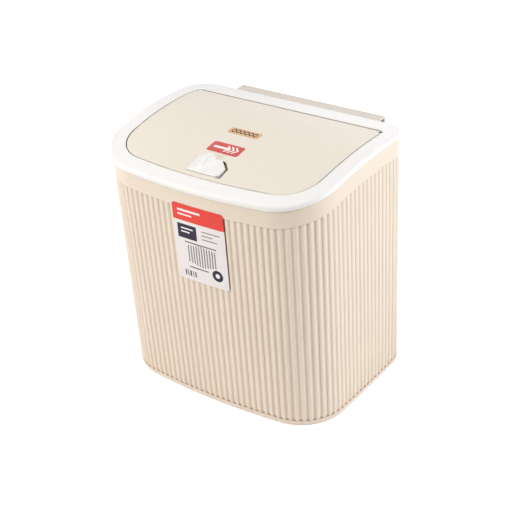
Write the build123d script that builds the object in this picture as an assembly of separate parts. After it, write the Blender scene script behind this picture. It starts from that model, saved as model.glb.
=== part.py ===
from build123d import *
import math
import os

# Ribbed under-cabinet trash bin with a flush hinged lid, a sliding thumb latch and a door hanger.
# Sizes are in millimetres. Z is up from the foot, X runs along the front and -Y is the front.
# The origin lies on the foot plane, under the middle of the rim.

# Rim seen from above
rim_width = 250.0
rim_depth = 181.0
rim_front_corner = 50.0
rim_rear_corner = 28.0
front_bow = 720.0
side_bow = 1400.0
widest_y = 23.0

# Crowned top: one circle in side view that rim, lid, collar and rib ends share
peak_height = 257.0
peak_y = 29.6
crown_radius = 388.0

# Bucket
rim_overhang = 1.0
front_taper = 6.0
side_taper = 2.5
rear_taper = 1.1
foot_front_corner = 47.0
wall = 3.2
floor = 2.5
collar_height = 18.0
collar_steps = 8
foot_band = 6.0
foot_round = 3.0
foot_round_steps = 2
foot_recess = 1.5
foot_ring = 14.0

# Ribs
rib_pitch = 6.85
rib_depth = 1.3
groove_width = 1.6
rib_inset = 0.1
rib_wrap = 0.55

# Rim frame
rim_plate = 2.4
rim_skirt = 5.0
rim_skirt_wall = 2.3
rim_round = 2.6
locating_wall = 1.7
locating_depth = 12.0
locating_gap = 1.0
seat_gap = 0.3

# Opening in the rim, and the well and ledge that the lid lies on
front_band = 15.3
side_band = 15.4
rear_band = 23.6
opening_rear_corner = 6.0
well_wall = 1.8
well_depth = 8.0
ledge_width = 5.0
ledge_thickness = 2.0
opening_edge = 0.6

# Lid
lid_gap = 0.8
lid_drop = 0.3
lid_plate = 2.2
lid_skirt_wall = 1.4
lid_skirt_setback = 1.0
lid_edge = 0.8
lid_rib_count = 3
lid_rib_setback = 29.0
lid_rib_thickness = 1.2
lid_rib_depth = 4.0

# Hinge
barrel_radius = 3.0
barrel_gap = 0.9
pin_radius = 1.5
pin_length = 17.0
pin_bury = 8.0
pin_fit = 0.05
hinge_notch = 4.0
hinge_notch_width = 4.5
hinge_boss_radius = 3.4
hinge_boss_length = 7.0

# Thumb latch, measured from the middle of its cut-out along the lid
latch_setback = 16.2
cutout_length = 39.0
cutout_width = 22.8
cutout_corner = 1.5
cutout_chamfer = 9.0
slider_gap = 0.4
slider_travel = 3.0
slider_edge = 1.1
slider_ridge = 4.2
ridge_x = -6.0
ridge_half_width = 1.2
ridge_flank = 5.0
bolt_thickness = 2.0
bolt_margin = 1.6
lid_clearance = 0.5
latch_gap = 0.3
peg_radius = 1.5
peg_spacing = 20.0
peg_fit = 0.05
tongue_thickness = 1.6
tongue_width = 6.0
tongue_y = -8.0
catch_overlap = 2.1
keeper_wall = 1.6
barb_thickness = 1.5
barb_length = 2.4
keeper_foot = 1.3
shelf_thickness = 2.0
shelf_reach = 7.0

# Latch housing, its screws and the return spring
housing_wall = 1.4
housing_floor = 1.4
tab_length = 7.4
tab_gap = 1.6
boss_radius = 2.8
screw_radius = 1.2
screw_fit = 0.05
screw_head_radius = 2.4
screw_head = 1.4
screw_slot = 0.5
spring_strip = 0.5
spring_half_width = 1.75
spring_height = 3.5
spring_folds = 6
spring_bend = 0.5
spring_length = 14.0
spring_lug = 2.0

# Labels, set back from the latch, and the sticker, below the peak
label_thickness = 0.3
label_gap = 0.05
label_x = -2.0
arrow_label_length = 35.0
arrow_label_width = 15.0
arrow_label_setback = 28.2
tan_label_length = 35.0
tan_label_width = 9.6
tan_label_setback = 58.4
label_corner = 2.0
sticker_width = 58.0
sticker_height = 80.5
sticker_x = 5.3
sticker_drop = 38.0
sticker_corner = 3.0

# Door hanger and its pocket in the bucket's back
hanger_width = 168.0
hanger_sheet = 2.4
hanger_drop = 8.5
door_gap = 15.0
outer_leg = 46.0
hook_leg = 51.5
hanger_lift = 20.0
hanger_clear = 1.5
hanger_gap = 0.3
hanger_round = 1.6
hanger_corner = 6.0
pocket_wall = 2.2
pocket_side_gap = 0.6
pad_thickness = 1.5
pad_width = 22.0
pad_height = 26.0
pad_x = 58.0

# Reach of cutting solids past the bin
large = 400.0
above = 20.0
half_turn = math.pi


# Plan outlines: the right half as arcs (centre x, centre y, radius, start, end), front middle to back
def corner_between(first, first_radius, second, second_radius):
    gap_x = second[0] - first[0]
    gap_y = second[1] - first[1]
    gap = math.hypot(gap_x, gap_y)
    along = (first_radius ** 2 - second_radius ** 2 + gap ** 2) / (2 * gap)
    across = math.sqrt(first_radius ** 2 - along ** 2)
    middle_x = first[0] + gap_x / gap * along
    middle_y = first[1] + gap_y / gap * along
    choices = [
        (middle_x - gap_y / gap * across, middle_y + gap_x / gap * across),
        (middle_x + gap_y / gap * across, middle_y - gap_x / gap * across),
    ]
    return max(choices, key=lambda point: point[0] - point[1])


def half_outline(side_inset, front_inset, rear_inset, front_corner, rear_corner, inset=0.0):
    half_width = rim_width / 2 - side_inset - inset
    front_y = -rim_depth / 2 + front_inset + inset
    rear_y = rim_depth / 2 - rear_inset - inset
    bow = front_bow - front_inset - inset
    flank = side_bow - side_inset - inset
    front_radius = front_corner - inset
    rear_radius = rear_corner - inset
    bow_centre = (0.0, front_y + bow)
    flank_centre = (half_width - flank, widest_y)
    corner = corner_between(bow_centre, bow - front_radius, flank_centre, flank - front_radius)
    rear_centre_y = rear_y - rear_radius
    rear_reach = math.sqrt((flank - rear_radius) ** 2 - (rear_centre_y - widest_y) ** 2)
    rear_centre_x = flank_centre[0] + rear_reach
    bow_end = math.atan2(corner[1] - bow_centre[1], corner[0] - bow_centre[0])
    corner_end = math.atan2(corner[1] - flank_centre[1], corner[0] - flank_centre[0])
    flank_end = math.atan2(rear_centre_y - widest_y, rear_reach)
    return [
        (bow_centre[0], bow_centre[1], bow, -half_turn / 2, bow_end),
        (corner[0], corner[1], front_radius, bow_end, corner_end),
        (flank_centre[0], flank_centre[1], flank, corner_end, flank_end),
        (rear_centre_x, rear_centre_y, rear_radius, flank_end, half_turn / 2),
    ]


def rim_outline(inset=0.0):
    return half_outline(0, 0, 0, rim_front_corner, rim_rear_corner, inset)


def opening_outline(inset=0.0):
    corner = rim_front_corner - side_band
    return half_outline(side_band, front_band, rear_band, corner, opening_rear_corner, inset)


def wall_outline(share_down, inset=0.0):
    corner = rim_front_corner - rim_overhang
    corner += (foot_front_corner - corner) * share_down
    return half_outline(
        rim_overhang + side_taper * share_down,
        rim_overhang + front_taper * share_down,
        rim_overhang + rear_taper * share_down,
        corner,
        rim_rear_corner - rim_overhang,
        inset,
    )


def arc_point(arc, angle, height=0.0, mirror=1.0):
    return (mirror * (arc[0] + arc[2] * math.cos(angle)), arc[1] + arc[2] * math.sin(angle), height)


def arc_edge(arc, height, mirror=1.0):
    middle = (arc[3] + arc[4]) / 2
    ends = [arc_point(arc, angle, height, mirror) for angle in (arc[3], middle, arc[4])]
    return ThreePointArc(*ends)


def outline_face(arcs, height):
    bow, *rest = arcs
    edges = [ThreePointArc(
        arc_point(bow, bow[4], height, -1),
        arc_point(bow, bow[3], height),
        arc_point(bow, bow[4], height),
    )]
    edges += [arc_edge(arc, height) for arc in rest]
    rear = arc_point(rest[-1], rest[-1][4], height)
    edges.append(Line(rear, (-rear[0], rear[1], height)))
    edges += [arc_edge(arc, height, -1) for arc in reversed(rest)]
    return Face(Wire(edges))


def prism(arcs, low=0.0, high=None):
    top = peak_height + above if high is None else high
    return extrude(outline_face(arcs, low), top - low, dir=(0, 0, 1))


# Everything below the crowned surface, lowered by a drop
def crown_height(y):
    return peak_height - crown_radius + math.sqrt(crown_radius ** 2 - (y - peak_y) ** 2)


def under_crown(drop):
    front = -rim_depth
    rear = rim_depth
    base = -peak_height
    start = (0, front, crown_height(front) - drop)
    middle = (0, peak_y, peak_height - drop)
    end = (0, rear, crown_height(rear) - drop)
    side_view = Wire([
        ThreePointArc(start, middle, end),
        Line(end, (0, rear, base)),
        Line((0, rear, base), (0, front, base)),
        Line((0, front, base), start),
    ])
    return extrude(Face(side_view), rim_width, dir=(1, 0, 0), both=True)


# The same in straight steps, close enough for the ends of the ribs
def under_stepped_crown(drop, steps):
    reach = rim_depth / 2
    corners = [(0, reach, -peak_height), (0, -reach, -peak_height)]
    for step in range(steps + 1):
        y = -reach + 2 * reach * step / steps
        corners.append((0, y, crown_height(y) - drop))
    side_view = make_face(Polyline(*corners, close=True))
    return extrude(side_view, rim_width, dir=(1, 0, 0), both=True)


def crown_layer(arcs_solid, upper_drop, lower_drop):
    return (arcs_solid & under_crown(upper_drop)) - under_crown(lower_drop)


def solid_box(low, high):
    size = [high[axis] - low[axis] for axis in range(3)]
    middle = [(high[axis] + low[axis]) / 2 for axis in range(3)]
    return Pos(*middle) * Box(*size)


# Tapered bodies between two levels
def level_outline(height, inset=0.0):
    return wall_outline(1 - height / peak_height, inset)


def tapered(low=0.0, high=peak_height, inset=0.0):
    foot = outline_face(level_outline(low, inset), low)
    head = outline_face(level_outline(high, inset), high)
    return loft([foot, head], ruled=True)


def walk(arcs, distance, inset):
    side = math.copysign(1.0, distance)
    left_over = abs(distance)
    for arc in arcs:
        length = arc[2] * (arc[4] - arc[3])
        if left_over <= length or arc is arcs[-1]:
            angle = arc[3] + left_over / arc[2]
            radius = arc[2] - inset
            return (side * (arc[0] + radius * math.cos(angle)), arc[1] + radius * math.sin(angle))
        left_over -= length


def rib_reach(arcs):
    lengths = [arc[2] * (arc[4] - arc[3]) for arc in arcs]
    return sum(lengths[:3]) + rib_wrap * lengths[3]


rib_count = round(2 * rib_reach(wall_outline(0)) / rib_pitch)


def fluted_face(arcs, height):
    reach = rib_reach(arcs)
    step = 2 * reach / rib_count
    half_groove = groove_width / 2 * step / rib_pitch
    points = []
    for rib in range(rib_count):
        start = -reach + rib * step
        points.append((
            walk(arcs, start + half_groove, rib_depth),
            walk(arcs, start + step / 2, rib_inset),
            walk(arcs, start + step - half_groove, rib_depth),
        ))
    edges = []
    for rib, (start, crest, end) in enumerate(points):
        edges.append(ThreePointArc((*start, height), (*crest, height), (*end, height)))
        if rib + 1 < rib_count:
            edges.append(Line((*end, height), (*points[rib + 1][0], height)))
    last = arcs[-1]
    start = points[-1][2]
    begin = math.atan2(start[1] - last[1], start[0] - last[0])
    back = (last[0], last[1], last[2] - rib_depth, begin, half_turn / 2)
    rear = arc_point(back, back[4], height)
    edges.append(arc_edge(back, height))
    edges.append(Line(rear, (-rear[0], rear[1], height)))
    edges.append(arc_edge(back, height, -1))
    return Face(Wire(edges))


def fluted(low, high):
    foot = fluted_face(level_outline(low), low)
    head = fluted_face(level_outline(high), high)
    return loft([foot, head], ruled=True)


# Latch frame: on the crown at the middle of the cut-out, X along the front, Z out of the lid
latch_y = -rim_depth / 2 + front_band + latch_setback
latch_slope = math.asin((peak_y - latch_y) / crown_radius)
latch_frame = Plane(
    origin=(0, latch_y, crown_height(latch_y)),
    x_dir=(1, 0, 0),
    z_dir=(0, -math.sin(latch_slope), math.cos(latch_slope)),
)
cutout_left = -cutout_length / 2
cutout_right = cutout_length / 2
slider_left = cutout_left + slider_gap
slider_right = cutout_right - slider_gap - slider_travel
lid_under = -lid_drop - lid_plate
bolt_top = lid_under - lid_clearance
bolt_bottom = bolt_top - bolt_thickness
bolt_left = cutout_left - slider_travel - 2 * latch_gap
bolt_right = slider_right + bolt_margin
bolt_half = cutout_width / 2 + bolt_margin - slider_gap
tongue_bottom = bolt_bottom - tongue_thickness
barb_bottom = bolt_bottom + latch_gap
barb_right = bolt_left - 2 * latch_gap - catch_overlap + latch_gap
barb_left = barb_right - barb_length
tongue_left = barb_right - catch_overlap
keeper_left = barb_left - keeper_wall
foot_top = tongue_bottom - latch_gap
foot_bottom = foot_top - keeper_foot
shelf_top = foot_bottom - latch_gap
spring_top = bolt_bottom - latch_gap
housing_base = spring_top - spring_height - latch_gap
housing_under = housing_base - housing_floor
channel_half = spring_half_width + 2 * latch_gap
housing_half = channel_half + housing_wall
spring_start = latch_gap
spring_end = spring_start + spring_length
housing_right = bolt_right + slider_travel + tab_gap
screw_right = housing_right + boss_radius
screw_left = bolt_left - tab_gap - boss_radius
boss_low = housing_base + latch_gap


def in_latch(solid):
    return latch_frame.location * solid


def cutout_block(left, right, half_width, chamfer, low, high):
    corners = [
        (left, -half_width),
        (right, -half_width),
        (right, half_width - chamfer),
        (right - chamfer, half_width),
        (left, half_width),
    ]
    block = Pos(0, 0, low) * extrude(make_face(Polyline(*corners, close=True)), high - low)
    return fillet(block.edges().filter_by(Axis.Z), cutout_corner)


# Bucket: smooth foot band and collar, ribs between them, flat back with the hanger's pocket
hanger_top = peak_height - hanger_drop
hanger_foot = hanger_top - hook_leg
leg_front = rim_depth / 2 + hanger_gap
leg_rear = leg_front + hanger_sheet
outer_front = leg_rear + door_gap
outer_rear = outer_front + hanger_sheet
hook_front = rim_depth / 2 - rim_overhang - rear_taper - wall - hanger_gap - hanger_sheet
window_top = hanger_foot + hanger_sheet + hanger_gap
window_low = hanger_foot - hanger_lift - hanger_gap
hook_top = window_top + hanger_lift - hanger_clear
pocket_front = hook_front - hanger_gap
pocket_rear = hook_front + hanger_sheet + hanger_gap
pocket_half = hanger_width / 2 + pocket_side_gap


# Level under which neither ribs nor collar meet the crowned surface
straight_top = min(crown_height(-rim_depth / 2), crown_height(rim_depth / 2)) - rim_skirt - collar_height


def rounded_foot():
    sections = []
    for step in range(foot_round_steps + 1):
        angle = half_turn / 2 * step / foot_round_steps
        height = foot_round * (1 - math.cos(angle))
        inset = foot_round * (1 - math.sin(angle))
        sections.append(outline_face(level_outline(height, inset), height))
    sections.append(outline_face(level_outline(foot_band), foot_band))
    return loft(sections, ruled=True)


def make_bucket():
    collar_underside = under_stepped_crown(rim_skirt + collar_height, collar_steps)
    rib_ends = extrude(fluted_face(level_outline(straight_top), straight_top), large, dir=(0, 0, 1))
    ribs = fluted(foot_band, straight_top) + (rib_ends & collar_underside)
    smooth = tapered(straight_top)
    collar = (smooth & under_crown(rim_skirt + seat_gap)) - collar_underside
    tongue_inset = rim_skirt_wall + seat_gap
    tongue_base = rim_skirt + collar_height / 2
    tongue = crown_layer(prism(rim_outline(tongue_inset)) & smooth, rim_plate + seat_gap, tongue_base)
    shell = rounded_foot() + ribs + collar + tongue
    shell -= tapered(floor, straight_top, wall)
    shell -= tapered(straight_top, peak_height, wall)
    shell -= prism(wall_outline(1, foot_ring), -1, foot_recess)
    side = pocket_half + pocket_wall
    pocket_low = window_low - pocket_wall
    pocket_high = hook_top + hanger_gap
    shell += solid_box(
        (-side, pocket_front - pocket_wall, pocket_low),
        (side, pocket_rear + wall / 2, pocket_high + pocket_wall),
    )
    shell -= solid_box((-pocket_half, pocket_front, window_low), (pocket_half, rim_depth, window_top))
    shell -= solid_box((-pocket_half, pocket_front, window_low), (pocket_half, pocket_rear, pocket_high))
    return shell


# Rim frame: crowned plate with an outer skirt, a locating wall inside the bucket and the lid's well
hinge_y = rim_depth / 2 - rear_band - barrel_gap - barrel_radius
hinge_z = crown_height(hinge_y) - lid_drop - barrel_radius
barrel_half = rim_width / 2 - side_band - hinge_notch_width
pin_start = barrel_half - pin_bury
pin_end = pin_start + pin_length


def on_crown(shape, drop=0.0):
    chosen = []
    for edge in shape.edges():
        middle = edge @ 0.5
        if abs(middle.Z - crown_height(middle.Y) + drop) < 0.01:
            chosen.append(edge)
    return chosen


def near_opening(edge):
    middle = edge @ 0.5
    inside_width = abs(middle.X) < (rim_width - side_band) / 2
    return inside_width and abs(middle.Y) < (rim_depth - front_band) / 2


def rod_along_x(radius, start, end, y, z):
    across = Plane(origin=(start, y, z), x_dir=(0, 1, 0), z_dir=(1, 0, 0))
    return extrude(across * Circle(radius), end - start)


def both_sides(solid):
    return solid + mirror(solid, Plane.YZ)


# The rim's rounded edge in three facets that touch its quarter circle
def rounded_rim(block):
    first_cut = rim_round * (2 - math.sqrt(2))
    next_cut = rim_round * (math.tan(half_turn / 8) - math.tan(half_turn / 16))
    block = chamfer(on_crown(block), first_cut)
    upper = on_crown(block)
    lower = []
    for edge in block.edges():
        middle = edge @ 0.5
        below = crown_height(middle.Y) - middle.Z
        if edge.length > 2 * rim_round and first_cut / 2 < below < rim_round:
            lower.append(edge)
    return chamfer(upper + lower, next_cut)


def make_rim_frame():
    block = prism(rim_outline(), peak_height - rim_depth / 2) & under_crown(0)
    block = rounded_rim(block)
    skirt = (block - under_crown(rim_skirt)) - prism(rim_outline(rim_skirt_wall))
    ring = (block - under_crown(rim_plate)) - prism(opening_outline())
    ring = chamfer([edge for edge in on_crown(ring) if near_opening(edge)], opening_edge)
    shell = ring + skirt
    locating_inset = rim_overhang + wall + locating_gap
    locating = prism(rim_outline(locating_inset)) - prism(rim_outline(locating_inset + locating_wall))
    shell += crown_layer(locating, rim_plate / 2, locating_depth)
    well = prism(opening_outline(-well_wall))
    opening = prism(opening_outline())
    shell += crown_layer(well - opening, rim_plate / 2, well_depth + ledge_thickness)
    ledge = well - prism(opening_outline(ledge_width))
    shell += crown_layer(ledge, well_depth, well_depth + ledge_thickness)
    boss_start = rim_width / 2 - side_band
    boss = rod_along_x(hinge_boss_radius, boss_start, boss_start + hinge_boss_length, hinge_y, hinge_z)
    shell += both_sides(boss & under_crown(rim_plate / 2))
    hole = rod_along_x(pin_radius + pin_fit, barrel_half, pin_end + seat_gap, hinge_y, hinge_z)
    shell -= both_sides(hole)
    shelf_low = shelf_top - shelf_thickness
    shelf_front = tongue_y - tongue_width / 2 - shelf_reach
    shelf_rear = tongue_y + tongue_width / 2 + latch_gap
    shelf = in_latch(solid_box(
        (keeper_left - latch_gap, shelf_front, shelf_low), (bolt_left + latch_gap, shelf_rear, shelf_top)
    ))
    shell += shelf & opening
    return shell


# Lid: flush crowned plate on a ledge, stiffened below, with a barrel at its rear and bosses for the latch
def make_lid():
    outline = prism(opening_outline(lid_gap))
    plate = crown_layer(outline, lid_drop, lid_drop + lid_plate)
    plate = chamfer(on_crown(plate, lid_drop), lid_edge)
    outer = prism(opening_outline(lid_gap + lid_skirt_setback))
    inner = prism(opening_outline(lid_gap + lid_skirt_setback + lid_skirt_wall))
    skirt = crown_layer(outer - inner, lid_drop + lid_plate / 2, well_depth - seat_gap)
    first_rib = latch_y + lid_rib_setback - lid_rib_thickness / 2
    for rib in range(lid_rib_count):
        rib_front = first_rib + (hinge_y - first_rib) * rib / lid_rib_count
        strip = solid_box((-large, rib_front, 0), (large, rib_front + lid_rib_thickness, large))
        skirt += crown_layer(strip & outer, lid_drop + lid_plate / 2, lid_drop + lid_plate + lid_rib_depth)
    notch_y = hinge_y - hinge_notch
    skirt -= solid_box((-large, notch_y, 0), (large, large, large))
    plate -= solid_box((-large, hinge_y, 0), (large, large, large))
    notch = solid_box((barrel_half, notch_y, 0), (large, large, large))
    plate -= both_sides(notch)
    barrel = rod_along_x(barrel_radius, -barrel_half, barrel_half, hinge_y, hinge_z)
    shell = plate + skirt + barrel
    hole = rod_along_x(pin_radius + pin_fit, pin_start - seat_gap, barrel_half + above, hinge_y, hinge_z)
    shell -= both_sides(hole)
    for screw_x in (screw_left, screw_right):
        boss = Pos(screw_x, 0, boss_low) * Cylinder(
            boss_radius, lid_under - boss_low + latch_gap, align=(Align.CENTER, Align.CENTER, Align.MIN)
        )
        bore = Pos(screw_x, 0, boss_low) * Cylinder(
            screw_radius + screw_fit, lid_under - boss_low, align=(Align.CENTER, Align.CENTER, Align.MIN)
        )
        shell += in_latch(boss)
        shell -= in_latch(bore)
    cutout = cutout_block(
        cutout_left, cutout_right, cutout_width / 2, cutout_chamfer, -above, above
    )
    shell -= in_latch(cutout)
    return shell


def make_hinge_pin(side):
    pin = rod_along_x(pin_radius, pin_start, pin_end, hinge_y, hinge_z)
    return pin if side > 0 else mirror(pin, Plane.YZ)


# Thumb slider: saddle with a raised cross ridge, on two pegs through the bolt
def make_slider_button():
    base = bolt_top + peg_fit
    valley = slider_edge
    peak_left = ridge_x - ridge_half_width
    peak_right = ridge_x + ridge_half_width
    left_run = peak_left - slider_left
    profile = [
        Line((slider_right, base), (slider_left, base)),
        Line((slider_left, base), (slider_left, valley)),
        ThreePointArc(
            (slider_left, valley),
            (slider_left + left_run * 0.6, valley + (slider_ridge - valley) * 0.2),
            (peak_left, slider_ridge),
        ),
        ThreePointArc((peak_left, slider_ridge), (ridge_x, slider_ridge + 0.4), (peak_right, slider_ridge)),
        ThreePointArc(
            (peak_right, slider_ridge),
            (peak_right + ridge_flank * 0.4, valley + (slider_ridge - valley) * 0.28),
            (peak_right + ridge_flank, valley),
        ),
        Line((peak_right + ridge_flank, valley), (slider_right, valley)),
        Line((slider_right, valley), (slider_right, base)),
    ]
    saddle = extrude(Plane.XZ * make_face(profile), cutout_width, both=True)
    half = cutout_width / 2 - slider_gap
    side_view = [
        Line((-half, base), (half, base)),
        Line((half, base), (half, slider_ridge + 1)),
        ThreePointArc((half, slider_ridge + 1), (half / 4, slider_ridge * 0.7), (-half, slider_edge)),
        Line((-half, slider_edge), (-half, base)),
    ]
    slope = extrude(Plane.YZ * make_face(side_view), cutout_length, both=True)
    body = cutout_block(
        slider_left, slider_right, half, cutout_chamfer - slider_gap, base, slider_ridge + above
    )
    body = body & saddle & slope
    peg = Cylinder(peg_radius, bolt_thickness + latch_gap, align=(Align.CENTER, Align.CENTER, Align.MAX))
    middle = (slider_left + slider_right) / 2
    for side in (-1, 1):
        body += Pos(middle + side * peg_spacing / 2, peg_y, base + latch_gap) * peg
    return in_latch(body)


peg_y = channel_half + peg_radius + housing_wall + latch_gap


# Bolt: plate under the lid with a catch tongue on the left and a lug that pushes the spring
def make_latch_bolt():
    bolt = solid_box((bolt_left, -bolt_half, bolt_bottom), (bolt_right, bolt_half, bolt_top))
    bolt = fillet(bolt.edges().filter_by(Axis.Z), cutout_corner)
    tongue_low = (tongue_left, tongue_y - tongue_width / 2, tongue_bottom)
    bolt += solid_box(tongue_low, (cutout_left, tongue_y + tongue_width / 2, bolt_bottom))
    lug_low = (-spring_lug, -spring_half_width, spring_top - spring_height)
    bolt += solid_box(lug_low, (0, spring_half_width, bolt_bottom))
    middle = (slider_left + slider_right) / 2
    hole = Cylinder(peg_radius + peg_fit, bolt_thickness * 3)
    for side in (-1, 1):
        bolt -= Pos(middle + side * peg_spacing / 2, peg_y, bolt_bottom) * hole
    return in_latch(bolt)


# Housing: narrow tray that carries the bolt and the spring, screwed to two bosses
def make_latch_housing():
    left = screw_left - tab_length / 2
    right = screw_right + tab_length / 2
    tray = solid_box((left, -housing_half, housing_under), (right, housing_half, housing_base))
    tray = fillet(tray.edges().filter_by(Axis.Z), cutout_corner)
    wall_top = bolt_bottom - latch_gap
    wall_left = -spring_lug - 4 * latch_gap - housing_wall
    wall_right = spring_end + latch_gap + housing_wall
    walls = solid_box((wall_left, -housing_half, housing_under), (wall_right, housing_half, wall_top))
    channel = solid_box(
        (wall_left + housing_wall, -channel_half, housing_base),
        (wall_right - housing_wall, channel_half, wall_top),
    )
    tray = tray + walls - channel
    for screw_x in (screw_left, screw_right):
        tray -= Pos(screw_x, 0, housing_under) * Cylinder(screw_radius + screw_fit, housing_floor * 3)
    return in_latch(tray)


def make_housing_screws():
    low = (Align.CENTER, Align.CENTER, Align.MIN)
    high = (Align.CENTER, Align.CENTER, Align.MAX)
    under = housing_under - screw_fit
    shank_length = lid_under - under - latch_gap
    screw = Pos(0, 0, under) * Cylinder(screw_head_radius, screw_head, align=high)
    screw += Pos(0, 0, under) * Cylinder(screw_radius, shank_length, align=low)
    for length, width in ((screw_head_radius, screw_slot), (screw_slot, screw_head_radius)):
        screw -= Pos(0, 0, under - screw_head) * Box(length * 1.4, width * 1.4, screw_head)
    return in_latch(Pos(screw_left, 0, 0) * screw) + in_latch(Pos(screw_right, 0, 0) * screw)


# Return spring: one strip folded to and fro, with a straight leg at each end
def make_return_spring():
    half_strip = spring_strip / 2
    reach = spring_half_width - half_strip
    first = spring_start + half_strip
    step = (spring_length - spring_strip) / spring_folds
    points = [(first, reach)]
    for fold in range(spring_folds + 1):
        side = -1 if fold % 2 == 0 else 1
        points.append((first + step * fold, side * reach))
    points.append((points[-1][0], -points[-1][1]))
    strip = trace(FilletPolyline(*points, radius=spring_bend), spring_strip)
    return in_latch(Pos(0, 0, spring_top) * extrude(strip, -spring_height))


# Keeper: springy catch on the rim's shelf; its barb holds the tongue down
def make_latch_keeper():
    corners = [
        (keeper_left, foot_bottom),
        (bolt_left, foot_bottom),
        (bolt_left, foot_top),
        (barb_left, foot_top),
        (barb_left, barb_bottom),
        (barb_right, barb_bottom),
        (barb_right, barb_bottom + barb_thickness / 2),
        (barb_left, barb_bottom + barb_thickness),
        (keeper_left, barb_bottom + barb_thickness),
    ]
    profile = make_face(Polyline(*corners, close=True))
    keeper = Pos(0, tongue_y, 0) * extrude(Plane.XZ * profile, tongue_width / 2, both=True)
    return in_latch(keeper)


# Labels lie on the crowned lid; the sticker lies on the ribs of the front
def lid_label(length, width, setback):
    outline = extrude(RectangleRounded(length, width, label_corner), peak_height + above)
    top = lid_drop - label_gap - label_thickness
    return crown_layer(Pos(label_x, latch_y + setback, 0) * outline, top, lid_drop - label_gap)


def make_front_sticker():
    layer = tapered(inset=-label_gap - label_thickness) - tapered(inset=-label_gap)
    face = Plane.XZ * RectangleRounded(sticker_width, sticker_height, sticker_corner)
    block = extrude(face, rim_depth)
    return layer & (Pos(sticker_x, 0, peak_height - sticker_drop - sticker_height / 2) * block)


# Door hanger: bent strip from the pocket's hook over the door, with two pads on the far leg
def make_door_hanger():
    half_sheet = hanger_sheet / 2
    path = FilletPolyline(
        (hook_front + half_sheet, hook_top),
        (hook_front + half_sheet, hanger_foot + half_sheet),
        (leg_front + half_sheet, hanger_foot + half_sheet),
        (leg_front + half_sheet, hanger_top - half_sheet),
        (outer_front + half_sheet, hanger_top - half_sheet),
        (outer_front + half_sheet, hanger_top - outer_leg),
        radius=hanger_round,
    )
    strip = extrude(Plane.YZ * trace(path, hanger_sheet), hanger_width / 2, both=True)
    lowest = [edge for edge in strip.edges().filter_by(Axis.Y) if abs((edge @ 0.5).Y - outer_front) < 3]
    lowest = [edge for edge in lowest if abs((edge @ 0.5).Z - hanger_top + outer_leg) < 1]
    return fillet(lowest, hanger_corner)


def make_pad(side):
    middle_z = hanger_top - outer_leg + pad_height / 2 + hanger_corner
    face = Plane.XZ * RectangleRounded(pad_width, pad_height, label_corner)
    pad = extrude(face, pad_thickness)
    return Pos(side * pad_x, outer_front - label_gap, middle_z) * pad


parts = {
    "bucket": make_bucket(),
    "rim_frame": make_rim_frame(),
    "lid": make_lid(),
    "hinge_pin_left": make_hinge_pin(-1),
    "hinge_pin_right": make_hinge_pin(1),
    "slider_button": make_slider_button(),
    "latch_bolt": make_latch_bolt(),
    "latch_housing": make_latch_housing(),
    "housing_screws": make_housing_screws(),
    "return_spring": make_return_spring(),
    "latch_keeper": make_latch_keeper(),
    "arrow_label": lid_label(arrow_label_length, arrow_label_width, arrow_label_setback),
    "tan_label": lid_label(tan_label_length, tan_label_width, tan_label_setback),
    "front_sticker": make_front_sticker(),
    "door_hanger": make_door_hanger(),
    "pad_left": make_pad(-1),
    "pad_right": make_pad(1),
}
os.makedirs("parts", exist_ok=True)
for name, solid in parts.items():
    export_step(solid, f"parts/{name}.step")
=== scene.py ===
import math

import bmesh
import bpy
from mathutils import Matrix, Vector


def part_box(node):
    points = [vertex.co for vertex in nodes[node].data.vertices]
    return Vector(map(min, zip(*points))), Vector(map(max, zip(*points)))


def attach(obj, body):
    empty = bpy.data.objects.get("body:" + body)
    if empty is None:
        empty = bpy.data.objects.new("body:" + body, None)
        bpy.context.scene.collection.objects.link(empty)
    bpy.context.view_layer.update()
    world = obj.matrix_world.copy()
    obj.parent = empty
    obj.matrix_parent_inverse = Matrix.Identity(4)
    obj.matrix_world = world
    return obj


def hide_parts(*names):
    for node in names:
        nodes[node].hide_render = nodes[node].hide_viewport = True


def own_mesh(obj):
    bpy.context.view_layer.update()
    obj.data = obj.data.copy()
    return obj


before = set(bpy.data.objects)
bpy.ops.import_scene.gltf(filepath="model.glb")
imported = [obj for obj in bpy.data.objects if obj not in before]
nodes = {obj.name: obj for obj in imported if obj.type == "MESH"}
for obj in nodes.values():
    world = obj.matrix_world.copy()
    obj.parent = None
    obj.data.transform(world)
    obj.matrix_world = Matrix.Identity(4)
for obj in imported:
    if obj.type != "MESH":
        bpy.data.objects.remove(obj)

scene = bpy.context.scene
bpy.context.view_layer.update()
mm = 0.001
print("frame loaded with", len(nodes), "nodes")


def addObject(name, data):
    added = bpy.data.objects.new(name, data)
    scene.collection.objects.link(added)
    return added


# Shader helpers
shading = {"edgeSamples": 6, "opennessSamples": 8, "noiseRoughness": 0.55}


def startMaterial(name):
    material = bpy.data.materials.new(name)
    material.use_nodes = True
    tree = material.node_tree
    tree.nodes.clear()
    output = tree.nodes.new("ShaderNodeOutputMaterial")
    surface = tree.nodes.new("ShaderNodeBsdfPrincipled")
    tree.links.new(surface.outputs["BSDF"], output.inputs["Surface"])
    return material, tree, surface


def objectPoint(tree, stretch=(1, 1, 1), offset=(0, 0, 0)):
    coordinate = tree.nodes.new("ShaderNodeTexCoord")
    mapping = tree.nodes.new("ShaderNodeMapping")
    mapping.inputs["Scale"].default_value = stretch
    mapping.inputs["Location"].default_value = offset
    tree.links.new(coordinate.outputs["Object"], mapping.inputs["Vector"])
    return mapping.outputs["Vector"]


def noiseField(tree, vector, scale, detail):
    noise = tree.nodes.new("ShaderNodeTexNoise")
    noise.inputs["Scale"].default_value = scale
    noise.inputs["Detail"].default_value = detail
    noise.inputs["Roughness"].default_value = shading["noiseRoughness"]
    tree.links.new(vector, noise.inputs["Vector"])
    return noise.outputs["Fac"]


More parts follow.
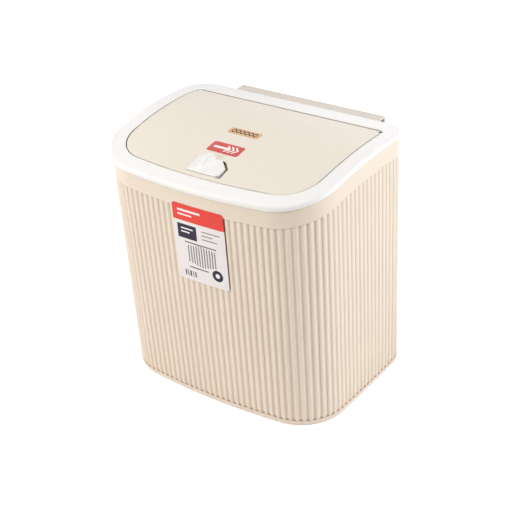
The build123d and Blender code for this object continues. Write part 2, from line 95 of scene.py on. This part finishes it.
# The usual input range is that of noise, which mostly lies between 0.3 and 0.7
def remap(tree, value, low, high, fromLow=0.3, fromHigh=0.7):
    mapRange = tree.nodes.new("ShaderNodeMapRange")
    mapRange.inputs["From Min"].default_value = fromLow
    mapRange.inputs["From Max"].default_value = fromHigh
    mapRange.inputs["To Min"].default_value = low
    mapRange.inputs["To Max"].default_value = high
    tree.links.new(value, mapRange.inputs["Value"])
    return mapRange.outputs["Result"]


# Sockets 0, 6, 7 and output 2 are the factor, both colours and the result of a colour mix
def mixColors(tree, factor, first, second):
    mix = tree.nodes.new("ShaderNodeMix")
    mix.data_type = "RGBA"
    tree.links.new(factor, mix.inputs[0])
    for socket, value in ((mix.inputs[6], first), (mix.inputs[7], second)):
        if isinstance(value, tuple):
            socket.default_value = (*value, 1)
        else:
            tree.links.new(value, socket)
    return mix.outputs[2]


def mathNode(tree, operation, *values):
    node = tree.nodes.new("ShaderNodeMath")
    node.operation = operation
    for socket, value in zip(node.inputs, values):
        if isinstance(value, (int, float)):
            socket.default_value = value
        else:
            tree.links.new(value, socket)
    return node.outputs[0]


def addBump(tree, surface, fields, normal=None):
    for field, strength, distance in fields:
        bump = tree.nodes.new("ShaderNodeBump")
        bump.inputs["Strength"].default_value = strength
        bump.inputs["Distance"].default_value = distance
        tree.links.new(field, bump.inputs["Height"])
        if normal is not None:
            tree.links.new(normal, bump.inputs["Normal"])
        normal = bump.outputs["Normal"]
    tree.links.new(normal, surface.inputs["Normal"])


# Normal that rounds edges by a radius in millimetres
def softEdges(tree, radius):
    bevel = tree.nodes.new("ShaderNodeBevel")
    bevel.samples = shading["edgeSamples"]
    bevel.inputs["Radius"].default_value = radius * mm
    return bevel.outputs["Normal"]


# 1 on open surface, less in gaps narrower than the reach in millimetres
def openness(tree, reach):
    occlusion = tree.nodes.new("ShaderNodeAmbientOcclusion")
    occlusion.samples = shading["opennessSamples"]
    occlusion.inputs["Distance"].default_value = reach * mm
    return occlusion.outputs["AO"]


# Linear colour of a hex code
def fromHex(text):
    channels = [int(text[at:at + 2], 16) / 255 for at in (0, 2, 4)]
    return tuple(c / 12.92 if c <= 0.04045 else ((c + 0.055) / 1.055) ** 2.4 for c in channels)


def shade(color, amount):
    return tuple(min(1.0, c * amount) for c in color)


def varied(tree, factor, color, amount):
    return mixColors(tree, factor, shade(color, 1 - amount), shade(color, 1 + amount))


# Moulded plastic: faint flow marks down the walls, fine grain, uneven polish, and painted shade that darkens
# the crevices
# Soft edges and the reach of crevices are in millimetres
moulding = {
    "cloudDetail": 2.0, "flowDetail": 4.0, "polishDetail": 3.0, "grainDetail": 2.0,
    "cloudShare": 0.6, "flowShare": 0.4, "blendRange": (0.38, 0.62),
    "grainDepth": 0.0002, "flowDepth": 0.0004, "coatRoughness": 0.18,
    "glowRadius": (0.004, 0.003, 0.002), "glowScale": 0.4,
}
# In each look the last line is painted shade in crevices: its colour, its reach in millimetres and its range
# of mix
plasticLooks = {
    "creamShell": {
        "color": "EDDECC", "variation": 0.012, "cloudScale": 14, "flowScale": 160, "flowStretch": 0.06,
        "roughness": (0.38, 0.44), "polishScale": 45, "grainScale": 2600, "grain": 0.08, "flow": 0.04,
        "specular": 0.32, "coat": 0.0, "glow": 0.02, "softEdge": 0.35,
        "creviceShadeColor": "A67950", "creviceReach": 2.2, "creviceShadeRange": (0.3, 0.92),
    },
    "creamLid": {
        "color": "EEE5D6", "variation": 0.010, "cloudScale": 16, "flowScale": 60, "flowStretch": 1.0,
        "roughness": (0.36, 0.42), "polishScale": 40, "grainScale": 3000, "grain": 0.10, "flow": 0.03,
        "specular": 0.45, "coat": 0.0, "glow": 0.02, "softEdge": 0.5,
        "creviceShadeColor": "846D55", "creviceReach": 2.4, "creviceShadeRange": (0.25, 0.75),
    },
    "whiteRim": {
        "color": "F8F5F2", "variation": 0.006, "cloudScale": 12, "flowScale": 80, "flowStretch": 1.0,
        "roughness": (0.30, 0.34), "polishScale": 30, "grainScale": 2600, "grain": 0.04, "flow": 0.02,
        "specular": 0.35, "coat": 0.0, "glow": 0.03, "softEdge": 0.9,
        "creviceShadeColor": "95806A", "creviceReach": 2.4, "creviceShadeRange": (0.25, 0.75),
    },
    "whiteSlider": {
        "color": "F4F2EF", "variation": 0.006, "cloudScale": 60, "flowScale": 200, "flowStretch": 1.0,
        "roughness": (0.22, 0.28), "polishScale": 120, "grainScale": 3000, "grain": 0.03, "flow": 0.02,
        "specular": 0.5, "coat": 0.1, "glow": 0.03, "softEdge": 0.8,
        "creviceShadeColor": "C9BDAE", "creviceReach": 1.6, "creviceShadeRange": (0.1, 0.6),
    },
    "innerNylon": {
        "color": "E4E0D6", "variation": 0.02, "cloudScale": 60, "flowScale": 300, "flowStretch": 1.0,
        "roughness": (0.42, 0.55), "polishScale": 120, "grainScale": 3000, "grain": 0.15, "flow": 0.05,
        "specular": 0.4, "coat": 0.0, "glow": 0.05, "softEdge": 0.2,
        "creviceShadeColor": "6E6050", "creviceReach": 5.0, "creviceShadeRange": (0.35, 0.95),
    },
    "creamHanger": {
        "color": "DED2C6", "variation": 0.012, "cloudScale": 20, "flowScale": 90, "flowStretch": 1.0,
        "roughness": (0.38, 0.44), "polishScale": 50, "grainScale": 2600, "grain": 0.08, "flow": 0.04,
        "specular": 0.45, "coat": 0.0, "glow": 0.02, "softEdge": 0.5,
        "creviceShadeColor": "A89886", "creviceReach": 3.0, "creviceShadeRange": (0.1, 0.7),
    },
}


def mouldedPlastic(name, look):
    material, tree, surface = startMaterial(name)
    point = objectPoint(tree)
    clouds = noiseField(tree, point, look["cloudScale"], moulding["cloudDetail"])
    flowPoint = objectPoint(tree, (1, 1, look["flowStretch"]))
    flow = noiseField(tree, flowPoint, look["flowScale"], moulding["flowDetail"])
    flowPart = mathNode(tree, "MULTIPLY", flow, moulding["flowShare"])
    blend = mathNode(tree, "MULTIPLY_ADD", clouds, moulding["cloudShare"], flowPart)
    factor = remap(tree, blend, 0, 1, *moulding["blendRange"])
    even = varied(tree, factor, fromHex(look["color"]), look["variation"])
    # Painted shade: the colour darkens towards the shade colour in crevices and narrow gaps, found by ambient
    # occlusion
    unshaded = remap(tree, openness(tree, look["creviceReach"]), 0, 1, *look["creviceShadeRange"])
    color = mixColors(tree, unshaded, fromHex(look["creviceShadeColor"]), even)
    tree.links.new(color, surface.inputs["Base Color"])
    polish = noiseField(tree, point, look["polishScale"], moulding["polishDetail"])
    tree.links.new(remap(tree, polish, *look["roughness"]), surface.inputs["Roughness"])
    grain = noiseField(tree, point, look["grainScale"], moulding["grainDetail"])
    bumps = [(grain, look["grain"], moulding["grainDepth"]), (flow, look["flow"], moulding["flowDepth"])]
    addBump(tree, surface, bumps, softEdges(tree, look["softEdge"]))
    surface.inputs["Specular IOR Level"].default_value = look["specular"]
    surface.inputs["Coat Weight"].default_value = look["coat"]
    surface.inputs["Coat Roughness"].default_value = moulding["coatRoughness"]
    surface.inputs["Subsurface Weight"].default_value = look["glow"]
    surface.inputs["Subsurface Radius"].default_value = moulding["glowRadius"]
    surface.inputs["Subsurface Scale"].default_value = moulding["glowScale"]
    return material


plastics = {name: mouldedPlastic(name, look) for name, look in plasticLooks.items()}


# Drawn steel for pins, screws and the spring
steelLook = {
    "dark": (0.42, 0.42, 0.43), "light": (0.66, 0.66, 0.67), "roughness": (0.22, 0.4),
    "lineScale": 900, "lineStretch": (0.05, 1, 1), "lineDetail": 4.0, "bump": (0.15, 0.0001),
}


def drawnSteel(name, look):
    material, tree, surface = startMaterial(name)
    lines = noiseField(tree, objectPoint(tree, look["lineStretch"]), look["lineScale"], look["lineDetail"])
    tree.links.new(mixColors(tree, lines, look["dark"], look["light"]), surface.inputs["Base Color"])
    tree.links.new(remap(tree, lines, *look["roughness"]), surface.inputs["Roughness"])
    surface.inputs["Metallic"].default_value = 1.0
    addBump(tree, surface, [(lines, *look["bump"])])
    return material


# Soft foam rubber for the hanger's pads
padLook = {
    "dark": (0.20, 0.19, 0.18), "light": (0.30, 0.285, 0.265), "roughness": (0.75, 0.92),
    "cellScale": 1400, "cellRange": (0.0, 0.9), "bump": (0.4, 0.0003),
}


def foamRubber(name, look):
    material, tree, surface = startMaterial(name)
    cells = tree.nodes.new("ShaderNodeTexVoronoi")
    cells.inputs["Scale"].default_value = look["cellScale"]
    tree.links.new(objectPoint(tree), cells.inputs["Vector"])
    distance = remap(tree, cells.outputs["Distance"], 0, 1, *look["cellRange"])
    tree.links.new(mixColors(tree, distance, look["dark"], look["light"]), surface.inputs["Base Color"])
    tree.links.new(remap(tree, distance, *look["roughness"], 0, 1), surface.inputs["Roughness"])
    addBump(tree, surface, [(distance, *look["bump"])])
    return material


# Printed film: flat shapes of ink over a base, in millimetres from the middle of the label
def inkAxes(tree, upAxis, centre):
    point = objectPoint(tree, offset=(-centre[0], -centre[1], -centre[2]))
    split = tree.nodes.new("ShaderNodeSeparateXYZ")
    tree.links.new(point, split.inputs[0])
    return split.outputs["X"], split.outputs[upAxis]


def inkBox(tree, across, up, left, right, low, high):
    insideAcross = mathNode(tree, "COMPARE", across, (left + right) / 2 * mm, (right - left) / 2 * mm)
    insideUp = mathNode(tree, "COMPARE", up, (low + high) / 2 * mm, (high - low) / 2 * mm)
    return mathNode(tree, "MULTIPLY", insideAcross, insideUp)


def inkDisc(tree, across, up, x, y, radius):
    squares = []
    for value, middle in ((across, x), (up, y)):
        offset = mathNode(tree, "SUBTRACT", value, middle * mm)
        squares.append(mathNode(tree, "MULTIPLY", offset, offset))
    return mathNode(tree, "LESS_THAN", mathNode(tree, "ADD", *squares), (radius * mm) ** 2)


def inkChevron(tree, across, up, x, reach, stroke, slope):
    height = mathNode(tree, "ABSOLUTE", up)
    sloped = mathNode(tree, "MULTIPLY", height, slope)
    along = mathNode(tree, "ADD", mathNode(tree, "SUBTRACT", across, x * mm), sloped)
    line = mathNode(tree, "COMPARE", along, 0.0, stroke / 2 * mm)
    return mathNode(tree, "MULTIPLY", line, mathNode(tree, "LESS_THAN", height, reach * mm))


def inkWave(tree, across, up, half, height, period, stroke):
    angle = mathNode(tree, "MULTIPLY", across, 2 * math.pi / (period * mm))
    wave = mathNode(tree, "MULTIPLY", mathNode(tree, "SINE", angle), height * mm)
    line = mathNode(tree, "COMPARE", up, wave, stroke / 2 * mm)
    return mathNode(tree, "MULTIPLY", line, mathNode(tree, "COMPARE", across, 0.0, half * mm))


film = {
    "fleckScale": 900, "fleckDetail": 2.0, "baseFleck": 0.03, "inkFleck": 0.07,
    "glossScale": 130, "glossDetail": 2.0, "coatRoughness": 0.12, "bump": (0.06, 0.0006),
}


def middleOf(name):
    low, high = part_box(name)
    return (low + high) / 2


def printedFilm(name, look, layers):
    material, tree, surface = startMaterial(name)
    across, up = inkAxes(tree, look["upAxis"], middleOf(look["node"]))
    fleck = noiseField(tree, objectPoint(tree), film["fleckScale"], film["fleckDetail"])
    color = varied(tree, fleck, fromHex(look["base"]), film["baseFleck"])
    for ink, shapes in layers:
        mask = None
        for draw, values in shapes:
            shape = draw(tree, across, up, *values)
            mask = shape if mask is None else mathNode(tree, "MAXIMUM", mask, shape)
        color = mixColors(tree, mask, color, varied(tree, fleck, fromHex(ink), film["inkFleck"]))
    tree.links.new(color, surface.inputs["Base Color"])
    gloss = noiseField(tree, objectPoint(tree), film["glossScale"], film["glossDetail"])
    tree.links.new(remap(tree, gloss, *look["roughness"]), surface.inputs["Roughness"])
    surface.inputs["Specular IOR Level"].default_value = look["specular"]
    surface.inputs["Coat Weight"].default_value = look["coat"]
    surface.inputs["Coat Roughness"].default_value = film["coatRoughness"]
    addBump(tree, surface, [(gloss, *film["bump"])])
    return material


# Red label on the lid: an arrow with three heads
arrowLabel = {
    "node": "arrow_label", "upAxis": "Y", "roughness": (0.25, 0.35), "coat": 0.3, "specular": 0.5,
    "base": "D0413B", "ink": "FBF4EF", "shaft": (-13.5, 3.0, -1.5, 1.5),
    "chevrons": (4.5, 9.0, 13.5), "reach": 4.8, "stroke": 2.3, "slope": 0.9,
}


def arrowPrint(look):
    shapes = [(inkBox, look["shaft"])]
    shapes += [(inkChevron, (x, look["reach"], look["stroke"], look["slope"])) for x in look["chevrons"]]
    return printedFilm("arrowPrint", look, [(look["ink"], shapes)])


# Tan label on the lid: two crossing waves, like a braid
tanLabel = {
    "node": "tan_label", "upAxis": "Y", "roughness": (0.3, 0.4), "coat": 0.2, "specular": 0.5,
    "base": "DFAE7C", "ink": "38210F", "half": 14.6, "heights": (2.5, -2.5), "period": 9.73, "stroke": 1.9,
}


def tanPrint(look):
    shapes = [(inkWave, (look["half"], height, look["period"], look["stroke"])) for height in look["heights"]]
    return printedFilm("tanPrint", look, [(look["ink"], shapes)])


# Sticker on the front ribs: plain bands, bars and a ring
sticker = {
    "node": "front_sticker", "upAxis": "Z", "roughness": (0.38, 0.48), "coat": 0.0, "specular": 0.25,
    "base": "F1EBEA", "header": "EC463B", "navy": "1F1433", "grey": "8E8B8A", "dark": "4A4748",
    "pale": "FBF8F5",
    "headerBand": (-30, 30, 23, 42),
    "headerLines": ((-23, 3, 33.0, 35.2), (-23, -7, 28.8, 30.4)),
    "navyBlock": (-25, -3, 4.5, 19.5),
    "navyLines": ((-21, -7, 14.4, 15.8), (-21, -11, 10.8, 12.2)),
    "ring": (17, -27, 6.0),
    "ringHole": (17, -27, 2.4),
    "rows": ((3, 23, 16, 17.2), (3, 15, 12, 13.2), (3, 20, 8, 9.2)),
    "rules": ((-18, 18, 0.4, 1.6), (-15, 7, -26, -24.8)),
    "slats": {"places": range(-15, 16, 3), "wide": 1.5, "foot": -23, "footRise": 0.22, "topDrop": 0.12},
    "tally": {
        "low": -36, "high": -30,
        "bars": ((-21, 1.6), (-18, 0.9), (-15.6, 1.9), (-12, 0.9), (-9.6, 1.5)),
    },
}


def inkBoxes(*boxes):
    return [(inkBox, box) for box in boxes]


def stickerPrint(look):
    slats, tally = look["slats"], look["tally"]
    slatBoxes = [
        (x, x + slats["wide"], slats["foot"] + abs(x) * slats["footRise"], -abs(x) * slats["topDrop"])
        for x in slats["places"]
    ]
    tallyBoxes = [(x, x + wide, tally["low"], tally["high"]) for x, wide in tally["bars"]]
    return printedFilm("stickerPrint", look, [
        (look["header"], inkBoxes(look["headerBand"])),
        (look["pale"], inkBoxes(*look["headerLines"])),
        (look["grey"], inkBoxes(*slatBoxes, *look["rows"])),
        (look["dark"], inkBoxes(*look["rules"], *tallyBoxes)),
        (look["navy"], [*inkBoxes(look["navyBlock"]), (inkDisc, look["ring"])]),
        (look["pale"], [*inkBoxes(*look["navyLines"]), (inkDisc, look["ringHole"])]),
    ])


# Finishes of the CAD nodes
steel = drawnSteel("pinSteel", steelLook)
foam = foamRubber("padFoam", padLook)
finishOf = {
    "bucket": plastics["creamShell"],
    "rim_frame": plastics["whiteRim"],
    "lid": plastics["creamLid"],
    "slider_button": plastics["whiteSlider"],
    "latch_bolt": plastics["innerNylon"],
    "latch_housing": plastics["innerNylon"],
    "latch_keeper": plastics["innerNylon"],
    "door_hanger": plastics["creamHanger"],
    "hinge_pin_left": steel,
    "hinge_pin_right": steel,
    "housing_screws": steel,
    "return_spring": steel,
    "pad_left": foam,
    "pad_right": foam,
    "arrow_label": arrowPrint(arrowLabel),
    "tan_label": tanPrint(tanLabel),
    "front_sticker": stickerPrint(sticker),
}


def dress(piece, material):
    piece.data.materials.clear()
    piece.data.materials.append(material)


for name, material in finishOf.items():
    dress(nodes[name], material)
print("finishes on", len(finishOf), "nodes")


# Thumb slider, in millimetres: a hollow ramp that ends in a steep step, highest at the rear
slider = {
    "origin": (0, -59.0, 246.7486),
    "tilt": 13.2,
    "left": -19.1,
    "right": 16.1,
    "half": 11.0,
    "rearChamfer": 8.6,
    "frontChamfer": 2.4,
    "smallChamfer": 0.7,
    "base": -2.95,
    "valley": 1.0,
    "ridge": 6.6,
    "fade": 1.15,
    "hollow": 1.7,
    "overshoot": 1.08,
    "sharpness": 6,
    "stepFoot": 0.6,
    "stepRun": 5.0,
    "lean": 6.0,
    "round": 0.9,
    "insets": (1.0, 0.6, 0.3, 0.1, 0.0),
    "segments": (72, 46),
    "cutMerge": 1e-5,
    "creaseAngle": 40,
    "pegs": {"x": (-11.5, 8.5), "y": 5.55, "radius": 1.5, "top": -2.65, "depth": 2.3, "segments": 24},
}


# Corners anticlockwise from the front left, each side as its start and its outward normal
def sliderSides(form):
    left, right, half = form["left"], form["right"], form["half"]
    big, front, small = form["rearChamfer"], form["frontChamfer"], form["smallChamfer"]
    corners = [
        (left + small, -half), (right - front, -half), (right, -half + front), (right, half - big),
        (right - big, half), (left + small, half), (left, half - small), (left, -half + small),
    ]
    sides = []
    for at, corner in enumerate(corners):
        start = Vector(corner)
        along = (Vector(corners[(at + 1) % len(corners)]) - start).normalized()
        sides.append((start, Vector((along.y, -along.x))))
    return sides


# Height of the slider's top: the lower of ramp and step, blended smoothly
def sliderRise(form, x, y):
    back = (y + form["half"]) / (2 * form["half"])
    foot = form["stepFoot"] - form["lean"] * (1 - back)
    peak = foot - form["stepRun"]
    run = max(0.0, (x - form["left"]) / (peak - form["left"]))
    ramp = run ** form["hollow"] * form["overshoot"]
    fall = min(1.0, max(0.0, (x - peak) / form["stepRun"]))
    step = (1 - fall * fall * (3 - 2 * fall)) * form["overshoot"]
    sharpness = form["sharpness"]
    blend = -math.log(math.exp(-sharpness * ramp) + math.exp(-sharpness * step)) / sharpness
    return form["valley"] + form["ridge"] * max(0.0, back) ** form["fade"] * max(0.0, blend)


def makeSlider(form):
    sides = sliderSides(form)
    radius = form["round"]
    shape = bmesh.new()
    columns, rows = form["segments"]
    bmesh.ops.create_grid(shape, x_segments=columns, y_segments=rows, size=0.5)
    wide = form["right"] - form["left"]
    for vert in shape.verts:
        vert.co.x = form["left"] + (vert.co.x + 0.5) * wide
        vert.co.y = vert.co.y * 2 * form["half"]
    # Cuts along each side, the last of which trims to the outline
    for inset in form["insets"]:
        for start, outward in sides:
            place = start - outward * radius * inset
            bmesh.ops.bisect_plane(
                shape, geom=shape.verts[:] + shape.edges[:] + shape.faces[:], dist=form["cutMerge"],
                plane_co=(place.x, place.y, 0), plane_no=(outward.x, outward.y, 0), clear_outer=inset == 0.0,
            )
    for vert in shape.verts:
        inside = min((start - Vector(vert.co[:2])).dot(outward) for start, outward in sides)
        short = max(0.0, radius - max(0.0, inside))
        rise = sliderRise(form, vert.co.x, vert.co.y)
        vert.co.z = rise - radius + math.sqrt(radius ** 2 - short ** 2)
    rim = [edge for edge in shape.edges if edge.is_boundary]
    walls = bmesh.ops.extrude_edge_only(shape, edges=rim)["geom"]
    lower = [part for part in walls if isinstance(part, bmesh.types.BMEdge)]
    for vert in {vert for edge in lower for vert in edge.verts}:
        vert.co.z = form["base"]
    bmesh.ops.contextual_create(shape, geom=[edge for edge in lower if edge.is_boundary])
    pegs = form["pegs"]
    for x in pegs["x"]:
        middle = Matrix.Translation((x, pegs["y"], pegs["top"] - pegs["depth"] / 2))
        bmesh.ops.create_cone(
            shape, cap_ends=True, segments=pegs["segments"], radius1=pegs["radius"], radius2=pegs["radius"],
            depth=pegs["depth"], matrix=middle,
        )
    bmesh.ops.recalc_face_normals(shape, faces=shape.faces[:])
    tilt = Matrix.Rotation(math.radians(form["tilt"]), 4, "X")
    place = Matrix.Scale(mm, 4) @ Matrix.Translation(form["origin"]) @ tilt
    bmesh.ops.transform(shape, matrix=place, verts=shape.verts[:])
    crease = math.radians(form["creaseAngle"])
    for face in shape.faces:
        face.smooth = True
    for edge in shape.edges:
        edge.smooth = len(edge.link_faces) == 2 and edge.calc_face_angle(0.0) < crease
    mesh = bpy.data.meshes.new("thumbSlider")
    shape.to_mesh(mesh)
    shape.free()
    piece = addObject("thumbSlider", mesh)
    dress(piece, plastics["whiteSlider"])
    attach(piece, "latch")
    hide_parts("slider_button")


makeSlider(slider)
print("thumb slider made")


# Return spring: a copy of the CAD strip, its doubled points merged, carried by the lid
spring = {"fixedEnd": (0.0143, -0.059, 0.240), "keep": 0.79, "merge": 1e-6}


def makeSpring(form):
    source = nodes["return_spring"]
    mesh = source.data.copy()
    mesh.transform(source.matrix_world)
    strip = bmesh.new()
    strip.from_mesh(mesh)
    bmesh.ops.remove_doubles(strip, verts=strip.verts[:], dist=form["merge"])
    strip.to_mesh(mesh)
    strip.free()
    piece = addObject("foldedSpring", mesh)
    dress(piece, finishOf["return_spring"])
    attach(piece, "lid")
    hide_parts("return_spring")
    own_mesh(piece)


makeSpring(spring)
print("spring made")


# Direction from the part outwards, azimuth from the front towards the right, both in degrees
def direction(azimuth, elevation):
    azimuth, elevation = math.radians(azimuth), math.radians(elevation)
    level = math.cos(elevation)
    return Vector((math.sin(azimuth) * level, -math.cos(azimuth) * level, math.sin(elevation)))


# Camera at the photograph's angle, with offsets in pixels of the photograph
cameraFit = {
    "azimuth": 37.585,
    "elevation": 30.092,
    "roll": -3.775,
    "distance": 1.23294,
    "target": (0, 0, 0.120),
    "pixelsPerMetre": 1012.12,
    "offset": (-0.7432, -2.6243),
    "principal": (-1.5972, -0.3082),
    "frame": 512,
    "sensor": 36,
    "clipEnd": 20,
}


def placeCamera(fit):
    azimuth, roll = math.radians(fit["azimuth"]), math.radians(fit["roll"])
    forward = -direction(fit["azimuth"], fit["elevation"])
    right = Vector((math.cos(azimuth), math.sin(azimuth), 0))
    up = right.cross(forward)
    turnedRight = right * math.cos(roll) + up * math.sin(roll)
    turnedUp = up * math.cos(roll) - right * math.sin(roll)
    aside = -(fit["offset"][0] - fit["principal"][0]) / fit["pixelsPerMetre"]
    above = -(fit["offset"][1] + fit["principal"][1]) / fit["pixelsPerMetre"]
    place = Vector(fit["target"]) - forward * fit["distance"] + turnedRight * aside + turnedUp * above
    camera = bpy.data.cameras.new("photoCamera")
    holder = addObject("photoCamera", camera)
    turn = Matrix((turnedRight, turnedUp, -forward)).transposed()
    holder.matrix_world = Matrix.Translation(place) @ turn.to_4x4()
    camera.sensor_width = fit["sensor"]
    camera.lens = fit["sensor"] * fit["pixelsPerMetre"] * fit["distance"] / fit["frame"]
    camera.shift_x = -fit["principal"][0] / fit["frame"]
    camera.shift_y = fit["principal"][1] / fit["frame"]
    camera.clip_end = fit["clipEnd"]
    scene.camera = holder


placeCamera(cameraFit)
print("camera placed")


# Studio: white floor that keeps the shadow, soft boxes all round
studio = {
    "floorSize": 6.0,
    "floorCells": 4,
    "floorDrop": 0.0002,
    "floorColor": (0.90, 0.90, 0.90),
    "floorLift": (0.62, 1.0),
    "liftReach": (0.3, 1.0),
    "ambient": (0.165, 0.155, 0.14),
    "backdrop": (1, 1, 1),
    "aim": (0, 0, 0.13),
    "boxes": [
        {
            "name": "rightBox", "azimuth": 107, "elevation": 25, "distance": 1.7, "size": (0.9, 1.1),
            "watts": 19.8, "color": (0.965, 1.0, 1.05),
        },
        {
            "name": "leftBox", "azimuth": -34, "elevation": 22, "distance": 1.7, "size": (0.9, 1.1),
            "watts": 14.2, "color": (1.0, 0.99, 0.965),
        },
        {
            "name": "topBox", "azimuth": -55, "elevation": 68, "distance": 1.6, "size": (1.4, 1.4),
            "watts": 12.0, "color": (1.0, 1.0, 1.04),
        },
        {
            "name": "backBox", "azimuth": 195, "elevation": 18, "distance": 1.8, "size": (1.0, 0.9),
            "watts": 2.0, "color": (1.0, 1.0, 1.0),
        },
    ],
}


def addSoftBox(spec, aim):
    light = bpy.data.lights.new(spec["name"], "AREA")
    light.shape = "RECTANGLE"
    light.size, light.size_y = spec["size"]
    light.energy = spec["watts"]
    light.color = spec["color"]
    holder = addObject(spec["name"], light)
    outward = direction(spec["azimuth"], spec["elevation"])
    holder.location = Vector(aim) + outward * spec["distance"]
    holder.rotation_euler = outward.to_track_quat("Z", "Y").to_euler()


def cameraSees(tree):
    path = tree.nodes.new("ShaderNodeLightPath")
    seen = mathNode(tree, "MAXIMUM", path.outputs["Is Camera Ray"], path.outputs["Is Glossy Ray"])
    return mathNode(tree, "MAXIMUM", seen, path.outputs["Is Transmission Ray"])


def makeWorld(look):
    world = bpy.data.worlds.new("studioWorld")
    scene.world = world
    world.use_nodes = True
    tree = world.node_tree
    tree.nodes.clear()
    output = tree.nodes.new("ShaderNodeOutputWorld")
    background = tree.nodes.new("ShaderNodeBackground")
    color = mixColors(tree, cameraSees(tree), look["ambient"], look["backdrop"])
    tree.links.new(color, background.inputs["Color"])
    tree.links.new(background.outputs[0], output.inputs["Surface"])


# Diffuse paper with a glow for the camera that grows with distance, so that the far floor stays white
def floorPaper(look):
    material = bpy.data.materials.new("studioFloor")
    material.use_nodes = True
    tree = material.node_tree
    tree.nodes.clear()
    output = tree.nodes.new("ShaderNodeOutputMaterial")
    paper = tree.nodes.new("ShaderNodeBsdfDiffuse")
    paper.inputs["Color"].default_value = (*look["floorColor"], 1)
    glow = tree.nodes.new("ShaderNodeEmission")
    reach = tree.nodes.new("ShaderNodeVectorMath")
    reach.operation = "LENGTH"
    tree.links.new(objectPoint(tree), reach.inputs[0])
    lift = remap(tree, reach.outputs["Value"], *look["floorLift"], *look["liftReach"])
    tree.links.new(mathNode(tree, "MULTIPLY", cameraSees(tree), lift), glow.inputs["Strength"])
    add = tree.nodes.new("ShaderNodeAddShader")
    tree.links.new(paper.outputs[0], add.inputs[0])
    tree.links.new(glow.outputs[0], add.inputs[1])
    tree.links.new(add.outputs[0], output.inputs["Surface"])
    return material


def makeFloor(look):
    mesh = bpy.data.meshes.new("studioFloor")
    sheet = bmesh.new()
    place = Matrix.Translation((0, 0, -look["floorDrop"]))
    cells = look["floorCells"]
    bmesh.ops.create_grid(sheet, x_segments=cells, y_segments=cells, size=look["floorSize"] / 2, matrix=place)
    sheet.to_mesh(mesh)
    sheet.free()
    floor = addObject("studioFloor", mesh)
    mesh.materials.append(floorPaper(look))


makeWorld(studio)
makeFloor(studio)
for spec in studio["boxes"]:
    addSoftBox(spec, studio["aim"])
scene.view_settings.view_transform = "Standard"
print("studio set")
